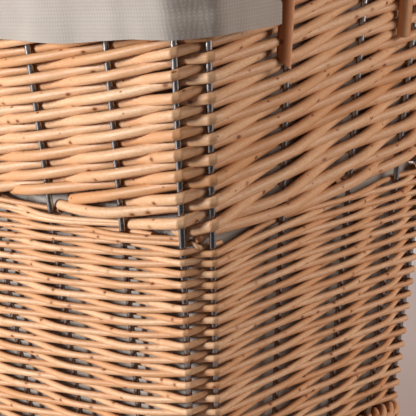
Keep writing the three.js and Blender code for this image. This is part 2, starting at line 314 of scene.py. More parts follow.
def through(points, pull):
    """Stations through plain points: each is a point, the heading there, and its pull before and after."""
    points = [Vector(p) for p in points]
    last = len(points) - 1
    return [(p, (points[min(i + 1, last)] - points[max(i - 1, 0)]).normalized(), pull, pull)
            for i, p in enumerate(points)]


def smooth_path(stations, step):
    """A curve through the stations, each held to its heading over the length of its pull. Also gives
    the facing of the rings that lie on a kink."""
    points = []
    kinks = {}
    for (a, heading_a, _, pull_a, *facing), (b, heading_b, pull_b, *_) in zip(stations, stations[1:]):
        chord = (b - a).length
        steps = max(1, round(chord / step))
        ta = heading_a * min(pull_a, 0.95 * chord)
        tb = heading_b * min(pull_b, 0.95 * chord)
        if facing:
            kinks[len(points)] = facing[0]
        for j in range(steps):
            t = j / steps
            points.append(a * (2 * t ** 3 - 3 * t ** 2 + 1) + ta * (t ** 3 - 2 * t ** 2 + t)
                          + b * (3 * t ** 2 - 2 * t ** 3) + tb * (t ** 3 - t ** 2))
    points.append(stations[-1][0])
    return np.array([tuple(p) for p in points]), kinks


def turned(direction, angle):
    c, s = math.cos(angle), math.sin(angle)
    return Vector((direction.x * c - direction.y * s, direction.x * s + direction.y * c, 0))


# How far a rod keeps its heading past a stake on a wall and past one at a corner, how close the stakes
# of a corner stand, and the share of its lean that a stiff rod loses along a wall
WALL_PULL = 60 * MM
CORNER_PULL = 24 * MM
CORNER_GAP = 25 * MM
STIFFNESS = 0.65

# From which turn in radians a rod kinks, the share of the turn at its first kink, the length of a kink,
# and how near to the wire a kinked rod lies
SHARP_TURN = 0.4
FIRST_KINK = (0.42, 0.6)
KINK = (0.7 * MM, 1.5 * MM)
KINK_REACH = 0.86


def threaded(crossings, reach, chance):
    """Stations of a rod that passes the wires on alternate sides: a gentle wave along a wall, and two
    sharp kinks round a corner wire. A crossing is a stake, the side (1 outside, -1 inside) and a height."""
    centres = [stake_at(stake, z) for stake, _, z in crossings]
    legs = []
    for j in range(len(crossings) - 1):
        level = centres[j + 1] - centres[j]
        level.z = 0
        lean = 0 if crossings[j][1] == crossings[j + 1][1] else math.asin(min(0.9, 2 * reach / level.length))
        at_wall = lean * (1 - STIFFNESS) if level.length > CORNER_GAP else lean
        way = level.normalized()
        side = crossings[j][1]
        legs.append((turned(way, side * lean), turned(way, side * at_wall), level.length))
    stations = []
    for j, (stake, side, z) in enumerate(crossings):
        before = legs[max(j - 1, 0)]
        after = legs[min(j, len(legs) - 1)]
        rise = crossings[min(j + 1, len(legs))][2] - crossings[max(j - 1, 0)][2]
        run = (before[2] if j else 0) + (after[2] if j < len(legs) else 0)
        slope = Vector((0, 0, rise / run))
        corner = stake % STAKE_COUNT in CORNER_STAKES
        into = before[1] if corner else before[0]
        out = after[1] if corner else after[0]
        turn = math.atan2(into.x * out.y - into.y * out.x, into.dot(out))
        pull = CORNER_PULL if corner else WALL_PULL
        if not corner or turn * side < SHARP_TURN:
            heading = turned(into, turn * 0.5)
            contact = Vector((heading.y, -heading.x, 0)) * side * reach
            stations.append((centres[j] + contact, (heading + slope).normalized(), pull, pull))
            continue
        middle = turn * chance.uniform(*FIRST_KINK)
        for i, (start, stop) in enumerate(((0, middle), (middle, turn))):
            first = turned(into, start)
            last = turned(into, stop)
            facing = (first + last).normalized()
            half = abs(stop - start) / 2
            bend = Vector((facing.y, -facing.x, 0)) * side * reach * KINK_REACH / math.cos(half)
            spot = centres[j] + bend + slope * reach * math.tan(half) * (2 * i - 1)
            kink = chance.uniform(*KINK)
            before_kink = spot - (first + slope) * kink
            after_kink = spot + (last + slope) * kink
            stations.append((before_kink, (first + slope).normalized(), pull, 0, facing))
            stations.append((spot, (facing + slope).normalized(), 0, 0, facing))
            stations.append((after_kink, (last + slope).normalized(), 0, pull, facing))
    return stations


def with_ends(stations, butt, tip, butt_pull, tip_pull):
    """The stations of a rod with its two ends, each headed straight along its last stretch."""
    return [(butt, (stations[0][0] - butt).normalized(), butt_pull, butt_pull), *stations,
            (tip, (tip - stations[-1][0]).normalized(), tip_pull, tip_pull)]


def natural_radii(points, butt, tip, seed):
    """Radii from butt to tip, with the slight swellings of a grown rod."""
    share = np.linspace(0, 1, len(points))
    swell = np.array([noise.noise(Vector((p * 26, seed, 0))) for p in share * len(points) * 0.006])
    return (butt + (tip - butt) * share) * (1 + 0.05 * swell)


# Materials

def add_node(tree, kind, links=None, **settings):
    """Adds a node, sets its properties and values by name, and links its inputs; a node given as a
    source stands for the first of its outputs that is in use."""
    node = tree.nodes.new(kind)
    for name, value in settings.items():
        setattr(node, name, value)
    for socket, source in (links or {}).items():
        if isinstance(source, bpy.types.Node):
            source = next(output for output in source.outputs if output.enabled)
        if isinstance(source, bpy.types.NodeSocket):
            tree.links.new(source, node.inputs[socket])
        else:
            node.inputs[socket].default_value = source
    return node


def new_material(name):
    material = bpy.data.materials.new(name)
    material.use_nodes = True
    material.node_tree.nodes.clear()
    return material, material.node_tree


def peeled_willow(name, diameter, depth):
    """Boiled and peeled willow: a satin skin, fine grain along the rod, tan patches and dark bud scars."""
    c = colours()
    bud_spacing = 17 * MM
    buds_round = max(1, round(math.pi * diameter / (12 * MM)))
    material, tree = new_material(name)
    tone, place, cut = (add_node(tree, "ShaderNodeAttribute", attribute_name=label)
                        for label in ("rod_tone", "rod_place", "rod_cut"))
    uv = add_node(tree, "ShaderNodeUVMap", uv_map="RodUV")

    # Each rod has its own tone, from pale to tan
    colour = add_node(tree, "ShaderNodeValToRGB", {"Fac": tone.outputs["Fac"]})
    ramp = colour.color_ramp
    ramp.elements[0].color = c.willow_pale
    ramp.elements[1].color = c.willow_deep
    ramp.elements[1].position = 1.25 - 0.25 * depth
    ramp.elements.new(0.5).color = c.willow

    # Streaks 1.1 mm wide and 25 mm long, mottling 1.5 mm wide and 3 mm long, and tan patches 6 mm wide
    # and 38 mm long where the bark was thicker; marks is how many fit in a metre along and across the rod
    grains = []
    for marks, detail, roughness, low, high, share, code in (
            ((40, 900, 900), 4.0, 0.6, 0.45, 0.75, 0.42, "#B9824F"),
            ((330, 650, 650), 3.0, 0.5, 0.42, 0.72, 0.38, "#C08A5E"),
            ((26, 160, 160), 2.0, 0.5, 0.55, 0.8, 0.6, "#CE8C58")):
        space = add_node(tree, "ShaderNodeMapping", {"Vector": place.outputs["Vector"], "Scale": marks})
        grain = add_node(tree, "ShaderNodeTexNoise",
                         {"Vector": space, "Scale": 1.0, "Detail": detail, "Roughness": roughness})
        amount = add_node(tree, "ShaderNodeMapRange",
                          {"Value": grain, "From Min": low, "From Max": high, "To Max": share})
        colour = add_node(tree, "ShaderNodeMix", {"Factor": amount, "A": colour, "B": hex_colour(code)},
                          data_type="RGBA")
        grains.append(grain)
    _, mottle, patch = grains

    # Painted shade: a rod is browned on its flanks and its inner side, where it lies against its neighbours
    # and the crevices between them are shaded
    turn = add_node(tree, "ShaderNodeSeparateXYZ", {"Vector": uv})
    angle = add_node(tree, "ShaderNodeMath", {0: turn.outputs["Y"], 1: 2 * math.pi}, operation="MULTIPLY")
    inward = add_node(tree, "ShaderNodeMath", {0: angle}, operation="COSINE")
    painted_crevice_shade = add_node(tree, "ShaderNodeMapRange",
                      {"Value": inward, "From Min": -0.55, "From Max": 0.2, "To Max": 0.75})

    # Bud scars: dark eyes of many sizes in a tan halo, in a few of the patches as long as the bud spacing
    bud_space = add_node(tree, "ShaderNodeMapping",
                         {"Vector": uv, "Scale": (1 / bud_spacing, buds_round, 1)})
    bud = add_node(tree, "ShaderNodeTexVoronoi", {"Vector": bud_space, "Scale": 1.0},
                   voronoi_dimensions="2D", feature="F1")
    chance = add_node(tree, "ShaderNodeSeparateColor", {"Color": bud.outputs["Color"]})
    growth = add_node(tree, "ShaderNodeMapRange",
                      {"Value": chance.outputs["Green"], "To Min": 0.55, "To Max": 1.5})
    away = add_node(tree, "ShaderNodeMath", {0: bud, 1: growth}, operation="DIVIDE")
    rare = add_node(tree, "ShaderNodeMapRange",
                    {"Value": chance.outputs["Red"], "From Min": 0.42, "From Max": 0.7})
    scars = []
    for edge, full, share in ((0.2, 0.08, 0.5), (0.1, 0.05, 0.9)):
        near = add_node(tree, "ShaderNodeMapRange",
                        {"Value": away, "From Min": edge, "From Max": full, "To Max": share})
        scars.append(add_node(tree, "ShaderNodeMath", {0: near, 1: rare}, operation="MULTIPLY"))
    halo, eye = scars

    # The painted crevice shade on the flanks and inner side, the halo and the eye lie over the grain, and
    # cut ends are dry and browned
    for amount, code in ((painted_crevice_shade, "#A95F2E"), (halo, "#C07D49"), (eye, "#6B381C"),
                         (cut.outputs["Fac"], "#9A6337")):
        colour = add_node(tree, "ShaderNodeMix", {"Factor": amount, "A": colour, "B": hex_colour(code)},
                          data_type="RGBA")
    relief = add_node(tree, "ShaderNodeMath", {0: mottle, 1: eye}, operation="SUBTRACT")
    bump = add_node(tree, "ShaderNodeBump", {"Height": relief, "Strength": 0.35, "Distance": 0.35 * MM})
    gloss = add_node(tree, "ShaderNodeMapRange", {"Value": patch, "To Min": 0.40, "To Max": 0.60})
    shader = add_node(tree, "ShaderNodeBsdfPrincipled",
                      {"Base Color": colour, "Roughness": gloss, "IOR": 1.5, "Normal": bump})
    add_node(tree, "ShaderNodeOutputMaterial", {"Surface": shader})
    return material


def drawn_steel(name):
    """Bare drawn wire: a dull metal with fine lines from the die, half a millimetre apart and 17 mm long."""
    material, tree = new_material(name)
    where = add_node(tree, "ShaderNodeTexCoord")
    space = add_node(tree, "ShaderNodeMapping",
                     {"Vector": where.outputs["Object"], "Scale": (1800, 1800, 60)})
    lines = add_node(tree, "ShaderNodeTexNoise", {"Vector": space, "Scale": 1.0, "Detail": 3.0})
    grey = add_node(tree, "ShaderNodeMix",
                    {"Factor": lines, "A": colours().steel, "B": hex_colour("#8C9196")}, data_type="RGBA")
    rough = add_node(tree, "ShaderNodeMapRange", {"Value": lines, "To Min": 0.18, "To Max": 0.34})
    bump = add_node(tree, "ShaderNodeBump", {"Height": lines, "Strength": 0.15, "Distance": 0.1 * MM})
    shader = add_node(tree, "ShaderNodeBsdfPrincipled",
                      {"Base Color": grey, "Metallic": 1.0, "Roughness": rough, "Normal": bump})
    add_node(tree, "ShaderNodeOutputMaterial", {"Surface": shader})
    return material


def plain_cotton(name):
    """Washed plain-weave cotton: matt, mottled every 14 mm, with crossing threads drawn 1.2 mm apart so
    that they show."""
    thread = 1.2 * MM
    material, tree = new_material(name)
    uv = add_node(tree, "ShaderNodeUVMap", uv_map="ClothUV")
    warp, weft = (add_node(tree, "ShaderNodeTexWave",
                           {"Vector": uv, "Scale": math.pi / (20 * thread), "Distortion": 0.6,
                            "Detail": 1.0, "Detail Scale": 1.5},
                           wave_type="BANDS", bands_direction=axis).outputs["Fac"]
                  for axis in ("X", "Y"))
    cross = add_node(tree, "ShaderNodeMath", {0: warp, 1: weft}, operation="MULTIPLY")
    mottle = add_node(tree, "ShaderNodeTexNoise", {"Vector": uv, "Scale": 70.0, "Detail": 5.0})
    shade = add_node(tree, "ShaderNodeMath", {0: cross, 1: mottle}, operation="MULTIPLY")
    colour = add_node(tree, "ShaderNodeMix",
                      {"Factor": shade, "A": colours().cotton, "B": hex_colour("#C0B9B1")},
                      data_type="RGBA")
    bump = add_node(tree, "ShaderNodeBump", {"Height": cross, "Strength": 0.35, "Distance": 0.3 * MM})
    shader = add_node(tree, "ShaderNodeBsdfPrincipled",
                      {"Base Color": colour, "Roughness": 0.92, "Sheen Weight": 0.2, "Normal": bump})
    add_node(tree, "ShaderNodeOutputMaterial", {"Surface": shader})
    return material


# The finish of each material slot: its name, what makes it, and a willow's thickness and depth of tone
FINISHES = {
    "steel_wire": ("drawn_steel_wire", drawn_steel),
    "thick_willow": ("peeled_thick_willow", peeled_willow, 7.2 * MM, 0.6),
    "thin_willow": ("peeled_thin_willow", peeled_willow, 4.7 * MM, 0.6),
    "split_willow": ("split_willow_skein", peeled_willow, 5 * MM, 1.0),
    "liner_cotton": ("washed_cotton", plain_cotton),
}


def finish_of(slot):
    """A slot's material, made on first use."""
    name, make, *details = FINISHES[slot]
    return bpy.data.materials.get(name) or make(name, *details)


def take_place(piece, node, slot, body="basket"):
    """Gives a piece its finish and puts it in a CAD node's place, on its body and with its slot."""
    piece.data.materials.append(finish_of(slot))
    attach(piece, body)
    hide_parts(node)


# Heights of the two weaves at each stake, in millimetres

# The thick layers' distance and how much more room the first layers take together; then by stake how
# far the rods lie off that rule, how far only the first ones do, and by stake and stroke single heights
THICK_LAYER = 6.6
THICK_SWELLING = 12.6
THICK_DRIFT = {4: -7, 5: -6.5, 6: -3.7, 7: 0, 8: -5, 9: -3, 10: 3.8, 11: 4.5}
THICK_SETTLE = {5: 5, 6: 8.8, 7: 3.6, 8: 4.6, 9: 9.2, 10: 8.5}
THICK_PLACED = {(8, -2): 217, (9, -2): 210, (9, -1): 217.4, (10, -2): 217, (10, -1): 220,
                (7, 13): 310.4, (7, 15): 324.4, (5, 3): 241.8, (6, 1): 230.3}

# Where the first rods of the thick weave start: the stake before which the butt lies, its share of the
# interval there and its height
THICK_BUTTS = {
    2: (5, 0.36, 237), 3: (6, 0.27, 233.6), 4: (6, 0.93, 236.6), 5: (6, 0.08, 228.2), 6: (6, 0.90, 220.5),
    7: (7, 0.87, 219), 8: (9, 0.29, 223.5), 9: (9, 0.87, 219.4), 10: (8, 0.45, 211), 11: (9, 0.95, 209),
    12: (10, 0.86, 219.5),
}

# The first full thin row's height and the distances of the short rows above it and of the rows below it.
# Those grow down to the row where the rods are at their full thickness; its fall is below the first row
THIN_FIRST = 202.2
THIN_SHORT_LAYER = 3.85
THIN_LAYER = 3.9
THIN_GROWTH = 0.03
THIN_FULL_ROW = 18
THIN_FULL_FALL = 79.9
THIN_FULL_LAYER = 5.0

# By stake: how far the rows lie off that rule and how much further with each row; then single heights
THIN_DRIFT = {4: (2, 0), 5: (0.3, 0), 6: (-0.2, 0), 7: (0.6, 0.12), 8: (1.4, 0.28), 9: (6.2, 0),
              10: (5.4, 0), 11: (5.2, 0)}
THIN_PLACED = {(7, -1): 205.8, (8, -1): 207, (6, -2): 210.6, (7, -2): 210, (5, -3): 213.5,
               (6, -3): 214.6, (5, -4): 216, (6, -4): 213.6, (7, -4): 213.5, (5, -5): 219.4,
               (6, -5): 219.3, (5, -6): 220, (5, -7): 222, (6, -7): 221, (4, -8): 232, (5, -8): 225}

# A row that passes behind a corner wire slips up or down there, which opens a gap beside it
THIN_TUCK = {7: 1.3, 12: 1.3, 20: 1.3, 25: 1.3, 8: -0.9, 13: -0.9, 21: -0.9, 0: -0.9}

# The rows above the first full one: the stakes where each begins and ends, and how far past its last
# stake, as a share of the interval, its tip is cut
THIN_SHORT_ROWS = {
    -1: (12, 34, 0.16), -2: (12, 33, 0.20), -3: (14, 32, 0.50), -4: (14, 33, 0.12), -5: (20, 32, 0.40),
    -6: (22, 31, 0.25), -7: (23, 32, 0.46), -8: (24, 31, 0.08),
}

# A rod that broke off between the wires of the photographed corner, and the strip of skin torn from it:
# share of the way from the one wire to the other, distance outside them, height and radius
BROKEN_END = ((0.97, -4.2, 217.2, 2.0), (0.83, -3.6, 216.5, 2.0), (0.60, -1.8, 215.2, 1.9),
              (0.46, -0.2, 213.5, 1.6), (0.50, 0.8, 211.6, 0.9))
TORN_SKIN = ((0.30, 0.2, 212.2, 0.5), (0.45, 1.2, 209.4, 1.6), (0.58, 1.0, 207.6, 1.7),
             (0.66, -2.6, 207.6, 0.9))


def wrapped(table, stake, first, last):
    """A value by stake, run evenly round the unseen walls from the last listed stake to the first."""
    stake %= STAKE_COUNT
    if stake in table:
        return np.array(table[stake], float)
    beyond = (stake - last) % STAKE_COUNT
    share = beyond / ((first - last) % STAKE_COUNT)
    return np.array(table[last], float) * (1 - share) + np.array(table[first], float) * share


def thick_height(stake, stroke):
    """Height of a thick rod at a stake, by how many strokes it has climbed; the first rods are the
    thickest, so they lie further apart."""
    placed = THICK_PLACED.get((stake % STAKE_COUNT, stroke))
    if placed is not None:
        return placed * MM
    if stroke < 0:
        climb = THICK_LAYER / 2 * stroke
    else:
        climb = THICK_LAYER * stroke + THICK_SWELLING * (1 - math.exp(-stroke / 3))
    drift = float(wrapped(THICK_DRIFT, stake, 4, 11))
    settle = float(wrapped(THICK_SETTLE, stake, 5, 10)) * math.exp(-max(stroke, 0) / 4)
    return sizes().seam_height + (climb + drift + settle) * MM


def thin_height(stake, row):
    """Height of a thin row at a stake; rows are counted down from the first full one."""
    placed = THIN_PLACED.get((stake % STAKE_COUNT, row))
    if placed is not None:
        return placed * MM
    if row < 0:
        fall = THIN_SHORT_LAYER * row
    elif row < THIN_FULL_ROW:
        fall = THIN_LAYER * row + THIN_GROWTH * row * row
    else:
        fall = THIN_FULL_FALL + THIN_FULL_LAYER * (row - THIN_FULL_ROW)
    start, ride = wrapped(THIN_DRIFT, stake, 4, 11)
    level = THIN_FIRST - fall
    lift = start + ride * min(max(row, 0), 14)
    if row > 0 and (stake + row) % 2:
        lift += THIN_TUCK.get(stake % STAKE_COUNT, 0)
    # Drift dies out over the lowest 60 mm, so that the last rows lie level on the foot border
    near_foot = min(1, max(0, (level - 18) / 60))
    return (level + lift * near_foot) * MM


def thin_top(stake):
    """Top of the thin weave at a stake."""
    rows = [0]
    for row, (begin, end, _) in THIN_SHORT_ROWS.items():
        place = stake % STAKE_COUNT
        if begin <= place <= end or begin <= place + STAKE_COUNT <= end:
            rows.append(row)
    return max(thin_height(stake, row) for row in rows) + 2.4 * MM


def beside(stake, z, outward):
    """A point next to a stake, outside it for a positive distance and inside for a negative one."""
    return stake_at(stake, z) + outward_at(stake) * outward


class BASKET_OT_wire_frame(bpy.types.Operator):
    """Give the frame round, bare steel wires"""

    bl_idname = "basket.wire_frame"
    bl_label = "Wire frame"

    def execute(self, context):
        for wall, i in STAKES:
            node = f"stake_{wall}_{i}"
            low, high = wire_ends(node)
            wire = round_wire(f"wire_{wall}_{i}", low, high, sizes().wire)
            take_place(wire, node, "steel_wire")
        for node in ("foot_ring", "rim_ring", *(f"base_wire_{i}" for i in range(1, 5))):
            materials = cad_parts[node].data.materials
            materials.clear()
            materials.append(finish_of("steel_wire"))
        return {"FINISHED"}


def wire_ends(node):
    """Centres of the two ends of a straight wire of the frame."""
    points = np.array([v.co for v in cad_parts[node].data.vertices], float)
    points = np.unique(np.round(points, 6), axis=0)
    middle = (points[:, 2].min() + points[:, 2].max()) / 2
    return Vector(points[points[:, 2] < middle].mean(0)), Vector(points[points[:, 2] > middle].mean(0))


def round_wire(name, low, high, diameter):
    span = high - low
    bpy.ops.mesh.primitive_cylinder_add(
        vertices=28, radius=diameter / 2, depth=span.length, location=(low + high) / 2,
        rotation=span.to_track_quat("Z", "Y").to_euler(), end_fill_type="NGON")
    wire = bpy.context.object
    wire.name = name
    bpy.ops.object.mode_set(mode="EDIT")
    bpy.ops.mesh.select_all(action="DESELECT")
    bpy.ops.object.mode_set(mode="OBJECT")
    for edge in wire.data.edges:
        ends = [wire.data.vertices[i].co.z for i in edge.vertices]
        edge.select = abs(ends[0] - ends[1]) < 1e-6
    bpy.ops.object.mode_set(mode="EDIT")
    bpy.ops.mesh.select_mode(type="EDGE")
    bpy.ops.mesh.bevel(offset=0.5 * MM, segments=2)
    bpy.ops.object.mode_set(mode="OBJECT")
    bpy.ops.object.transform_apply(location=True, rotation=True, scale=True)
    bpy.ops.object.shade_smooth_by_angle(angle=math.radians(35))
    return wire


class BASKET_OT_thick_weave(bpy.types.Operator):
    """Weave the thick rods, each climbing one layer at every stake"""

    bl_idname = "basket.thick_weave"
    bl_label = "Thick weave"

    def execute(self, context):
        bundle = RodBundle(seed=11)
        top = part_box("rim_border")[0].z - 3.6 * MM
        for rod in range(STAKE_COUNT):
            self.weave_rod(bundle, rod, top)
        bundle.build("thick_willow_weave", "upper_weave", "thick_willow")
        return {"FINISHED"}

    def weave_rod(self, bundle, rod, top):
        s = sizes()
        strokes = self.strokes_of(rod, top)
        reach = s.wire / 2 + s.thick_rod / 2 * 0.93
        crossings = [(stake, 1 if stroke % 2 else -1,
                      thick_height(stake, stroke) + bundle.random.uniform(-0.35, 0.35) * MM)
                     for stake, stroke in strokes]
        stations = threaded(crossings, reach, bundle.random)
        butt = self.butt_of(bundle, rod, *strokes[0], reach)
        last_stake, side, z = crossings[-1]
        tip = beside(last_stake, z + 4 * MM, side * reach).lerp(
            beside(last_stake + 1, z + 4 * MM, -side * reach), 0.35)
        points, kinks = smooth_path(with_ends(stations, butt, tip, 20 * MM, 15 * MM), step=6.2 * MM)
        radii = natural_radii(points, s.thick_rod / 2 * 1.04, s.thick_rod / 2 * 0.86, rod)
        bundle.add(points, radii, sides=12, flatten=0.96, kinks=kinks)

    def strokes_of(self, rod, top):
        """The stakes that a rod passes, with its stroke at each, from the first above the thin weave."""
        strokes = []
        begin = THICK_BUTTS[rod][0] - rod if rod in THICK_BUTTS else 0
        for stroke in range(begin, 32):
            stake = rod + stroke
            z = thick_height(stake, stroke)
            if z > top:
                break
            if not strokes and rod not in THICK_BUTTS and z < thin_top(stake) + 3.2 * MM:
                continue
            strokes.append((stake, stroke))
        return strokes

    def butt_of(self, bundle, rod, stake, stroke, reach):
        if rod in THICK_BUTTS:
            _, share, height = THICK_BUTTS[rod]
            z = height * MM
        else:
            share = bundle.random.uniform(0.78, 0.88)
            z = thick_height(stake, stroke) - 2 * MM
        depth = -reach if stroke % 2 == 0 else -reach * (1 - share)
        return beside(stake - 1, z, depth).lerp(beside(stake, z, depth), share)


class BASKET_OT_thin_weave(bpy.types.Operator):
    """Weave the thin rods in level rows that change sides at every stake"""

    bl_idname = "basket.thin_weave"
    bl_label = "Thin weave"

    def execute(self, context):
        bundle = RodBundle(seed=23)
        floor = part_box("lower_weave")[0].z + 2.6 * MM
        row = 0
        while thin_height(6, row) > floor:
            begin = (7 * row + 15) % STAKE_COUNT
            self.weave_row(bundle, row, begin, begin + STAKE_COUNT, tip_share=0.12, thickness=1.0)
            row += 1
        for row, (begin, end, tip_share) in THIN_SHORT_ROWS.items():
            self.weave_row(bundle, row, begin, end, tip_share, thickness=0.88)
        for spots, tone in ((BROKEN_END, 0.9), (TORN_SKIN, 0.0)):
            self.break_off(bundle, spots, tone)
        bundle.build("thin_willow_weave", "lower_weave", "thin_willow")
        return {"FINISHED"}

    def break_off(self, bundle, spots, tone):
        """A short length between the two wires of the photographed corner."""
        places = [beside(7, z * MM, out * MM).lerp(beside(8, z * MM, out * MM), share)
                  for share, out, z, _ in spots]
        points, _ = smooth_path(through(places, pull=4 * MM), step=1.2 * MM)
        along = np.linspace(0, len(spots) - 1, len(points))
        radii = np.interp(along, range(len(spots)), [spot[3] * MM for spot in spots])
        bundle.add(points, radii, sides=8, flatten=0.6, tone=tone)

    def weave_row(self, bundle, row, begin, end, tip_share, thickness):
        s = sizes()
        radius = s.thin_rod / 2 * thickness
        reach = s.wire / 2 + radius * 0.97
        crossings = [(stake, 1 if (stake + row) % 2 == 0 else -1,
                      thin_height(stake, row) + bundle.random.uniform(-0.25, 0.25) * MM)
                     for stake in range(begin, end + 1)]
        stations = threaded(crossings, reach, bundle.random)
        _, side_in, z_in = crossings[0]
        _, side_out, z_out = crossings[-1]
        butt = beside(begin - 1, z_in, -side_in * reach).lerp(beside(begin, z_in, side_in * reach), 0.8)
        tip = beside(end, z_out, side_out * reach).lerp(
            beside(end + 1, z_out, -side_out * reach * 0.3), tip_share)
        points, kinks = smooth_path(with_ends(stations, butt, tip, 12 * MM, 12 * MM), step=7.4 * MM)
        swell = 1 + 0.003 * min(max(row, 0), 14)
        radii = natural_radii(points, radius * 1.04 * swell, radius * 0.94 * swell, row + 0.5)
        bundle.add(points, radii, sides=8, kinks=kinks)


class BASKET_OT_base_mat(bpy.types.Operator):
    """Weave the base mat over and under the wires that cross it"""

    bl_idname = "basket.base_mat"
    bl_label = "Base mat"

    def execute(self, context):
        s = sizes()
        low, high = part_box("base_weave")
        wires = sorted((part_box(f"base_wire_{i}")[0].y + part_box(f"base_wire_{i}")[1].y) / 2
                       for i in range(1, 5))
        level = sum(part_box("base_wire_1")[i].z for i in (0, 1)) / 2
        reach = s.wire / 2 + s.base_rod / 2
        count = int((high.x - low.x) / (s.base_rod * 1.02))
        spacing = (high.x - low.x - s.base_rod) / (count - 1)
        bundle = RodBundle(seed=31)
        for i in range(count):
            x = low.x + s.base_rod / 2 + spacing * i
            short = 10 * MM if i in (0, count - 1) else 1.5 * MM
            spots = [(x, low.y + short, level)]
            spots += [(x, y, level + reach * (1 if (i + j) % 2 else -1)) for j, y in enumerate(wires)]
            spots.append((x, high.y - short, level))
            points, _ = smooth_path(through(spots, pull=18 * MM), step=6 * MM)
            radii = natural_radii(points, s.base_rod / 2, s.base_rod / 2 * 0.94, i)
            bundle.add(points, radii, sides=8, across=Vector((1, 0, 0)))
        bundle.build("willow_base_mat", "base_weave", "thin_willow")
        return {"FINISHED"}


def rope_border(bundle, z, half_width, half_height, rod, strands, turns):
    """Rods laid round each other along the outline, as a rolled border is."""
    count = 260
    middle = rounded_outline(z, 0.0, count)
    outer = rounded_outline(z, 6 * MM, count)
    outward = unit(outer - middle)
    path = np.concatenate([middle, middle[:1]])
    outward = np.concatenate([outward, outward[:1]])
    phase = np.linspace(0, 2 * math.pi * turns, count + 1)
    for strand in range(strands):
        angle = phase + 2 * math.pi * strand / strands
        points = path + outward * (np.cos(angle) * (half_width - rod / 2))[:, None]
        points[:, 2] += np.sin(angle) * (half_height - rod / 2)
        radii = natural_radii(points, rod / 2, rod / 2, strand + 0.3)
        bundle.add(points, radii, sides=10)


class BASKET_OT_foot_border(bpy.types.Operator):
    """Lay the foot border's rods round the foot ring"""

    bl_idname = "basket.foot_border"
    bl_label = "Foot border"

    def execute(self, context):
        low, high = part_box("foot_border")
        bundle = RodBundle(seed=41)
        half_height = (high.z - low.z) / 2 + 1.5 * MM
        rope_border(bundle, z=half_height, half_width=10.5 * MM, half_height=half_height,
                    rod=6.8 * MM, strands=6, turns=20)
        bundle.build("willow_foot_border", "foot_border", "thin_willow")
        return {"FINISHED"}


class BASKET_OT_rim_border(bpy.types.Operator):
    """Lay the rim border's rods round the rim ring"""

    bl_idname = "basket.rim_border"
    bl_label = "Rim border"

    def execute(self, context):
        low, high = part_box("rim_border")
        bundle = RodBundle(seed=43)
        rope_border(bundle, z=(low.z + high.z) / 2, half_width=13.7 * MM, half_height=(high.z - low.z) / 2,
                    rod=8.4 * MM, strands=6, turns=18)
        bundle.build("willow_rim_border", "rim_border", "thick_willow")
        return {"FINISHED"}


# How far the handles' legs run outside the stakes, how far above the rim their wrapping starts, and the
# rounded skein that it is wound from: radius, spacing of its turns and the play between skein and core
LEG_OUT = 8.1 * MM
WRAP_FOOT = 9 * MM
SKEIN_RADIUS = 1.3 * MM
SKEIN_SPACING = 6.4 * MM
SKEIN_PLAY = 0.3 * MM


def handle_path(side, count):
    """Centre line of a handle from one leg's foot over the arch to the other's."""
    s = sizes()
    half = s.handle_span / 2
    lift = s.handle_rise - s.handle_rod / 2 - s.wrap

    def at(y, z):
        return np.array((side * (s.rim_width / 2 * scale_at(z) + LEG_OUT), y, z))

    spring = s.rim_height
    top = spring + lift
    bow = spring + 0.66 * lift
    arch = [(at(-half, spring), at(-half, bow), at(-0.62 * half, top), at(0, top)),
            (at(0, top), at(0.62 * half, top), at(half, bow), at(half, spring))]
    points = [at(-half, spring - s.handle_tuck)]
    for a, b, c, d in arch:
        for step in range(40):
            t = step / 40
            points.append(a * (1 - t) ** 3 + 3 * b * t * (1 - t) ** 2 + 3 * c * t * t * (1 - t) + d * t ** 3)
    points.append(at(half, spring))
    points.append(at(half, spring - s.handle_tuck))
    return resample(np.array(points), count)


class BASKET_OT_handles(bpy.types.Operator):
    """Bend the two handles, tuck their legs into the weave and wind them with a split of willow"""

    bl_idname = "basket.handles"
    bl_label = "Handles"

    def execute(self, context):
        for name, side in (("right", 1), ("left", -1)):
            self.make_core(name, side)
            self.make_wrap(name, side)
        return {"FINISHED"}

    def make_core(self, name, side):
        s = sizes()
        points = handle_path(side, 90)
        bundle = RodBundle(seed=51 + side)
        radii = np.full(len(points), s.handle_rod / 2)
        bundle.add(points, radii, sides=20, across=Vector((1, 0, 0)), tone=0.6)
        bundle.build(f"handle_core_{name}", f"handle_{name}", "thick_willow")

    def make_wrap(self, name, side):
        """A flat skein wound side by side, so each turn shows as a rounded band."""
        s = sizes()
        path = handle_path(side, 600)
        lengths = run_lengths(path)
        bare = s.handle_tuck + WRAP_FOOT
        keep = (lengths > bare) & (lengths < lengths[-1] - bare)
        path = path[keep]
        lengths = lengths[keep] - bare
        tangents = unit(np.gradient(path, axis=0))
        first = unit(np.cross(tangents, np.array((1.0, 0, 0))))
        second = np.cross(tangents, first)
        bundle = RodBundle(seed=61 + side)
        steps = int(lengths[-1] / SKEIN_SPACING * 20)
        marks = np.linspace(0.002, lengths[-1] - 0.002, steps)
        spots, u, v, t = along_path(marks, lengths, path, first, second, tangents)
        angle = marks / SKEIN_SPACING * 2 * math.pi
        radius = s.handle_rod / 2 + SKEIN_PLAY + SKEIN_RADIUS
        out = u * np.cos(angle)[:, None] + v * np.sin(angle)[:, None]
        points = spots + out * radius
        bundle.add(points, np.full(steps, SKEIN_RADIUS), sides=8, across=t, tone=0.7)
        bundle.build(f"handle_wrapping_{name}", f"handle_wrap_{name}", "split_willow")


# The liner's places from the stakes' centre line outwards: inside the thin weave, inside the thick weave,
# and on both sides of the rim border, where the cuff hangs with its hem
LOW_WALL = -8.3 * MM
HIGH_WALL = -9.8 * MM
BORDER_SIDE = 15.0 * MM
CUFF_OUT = 0.4 * MM
HEM_OUT = 1.5 * MM
HEM_DEPTH = 13 * MM
NOTCH_MARGIN = 9 * MM


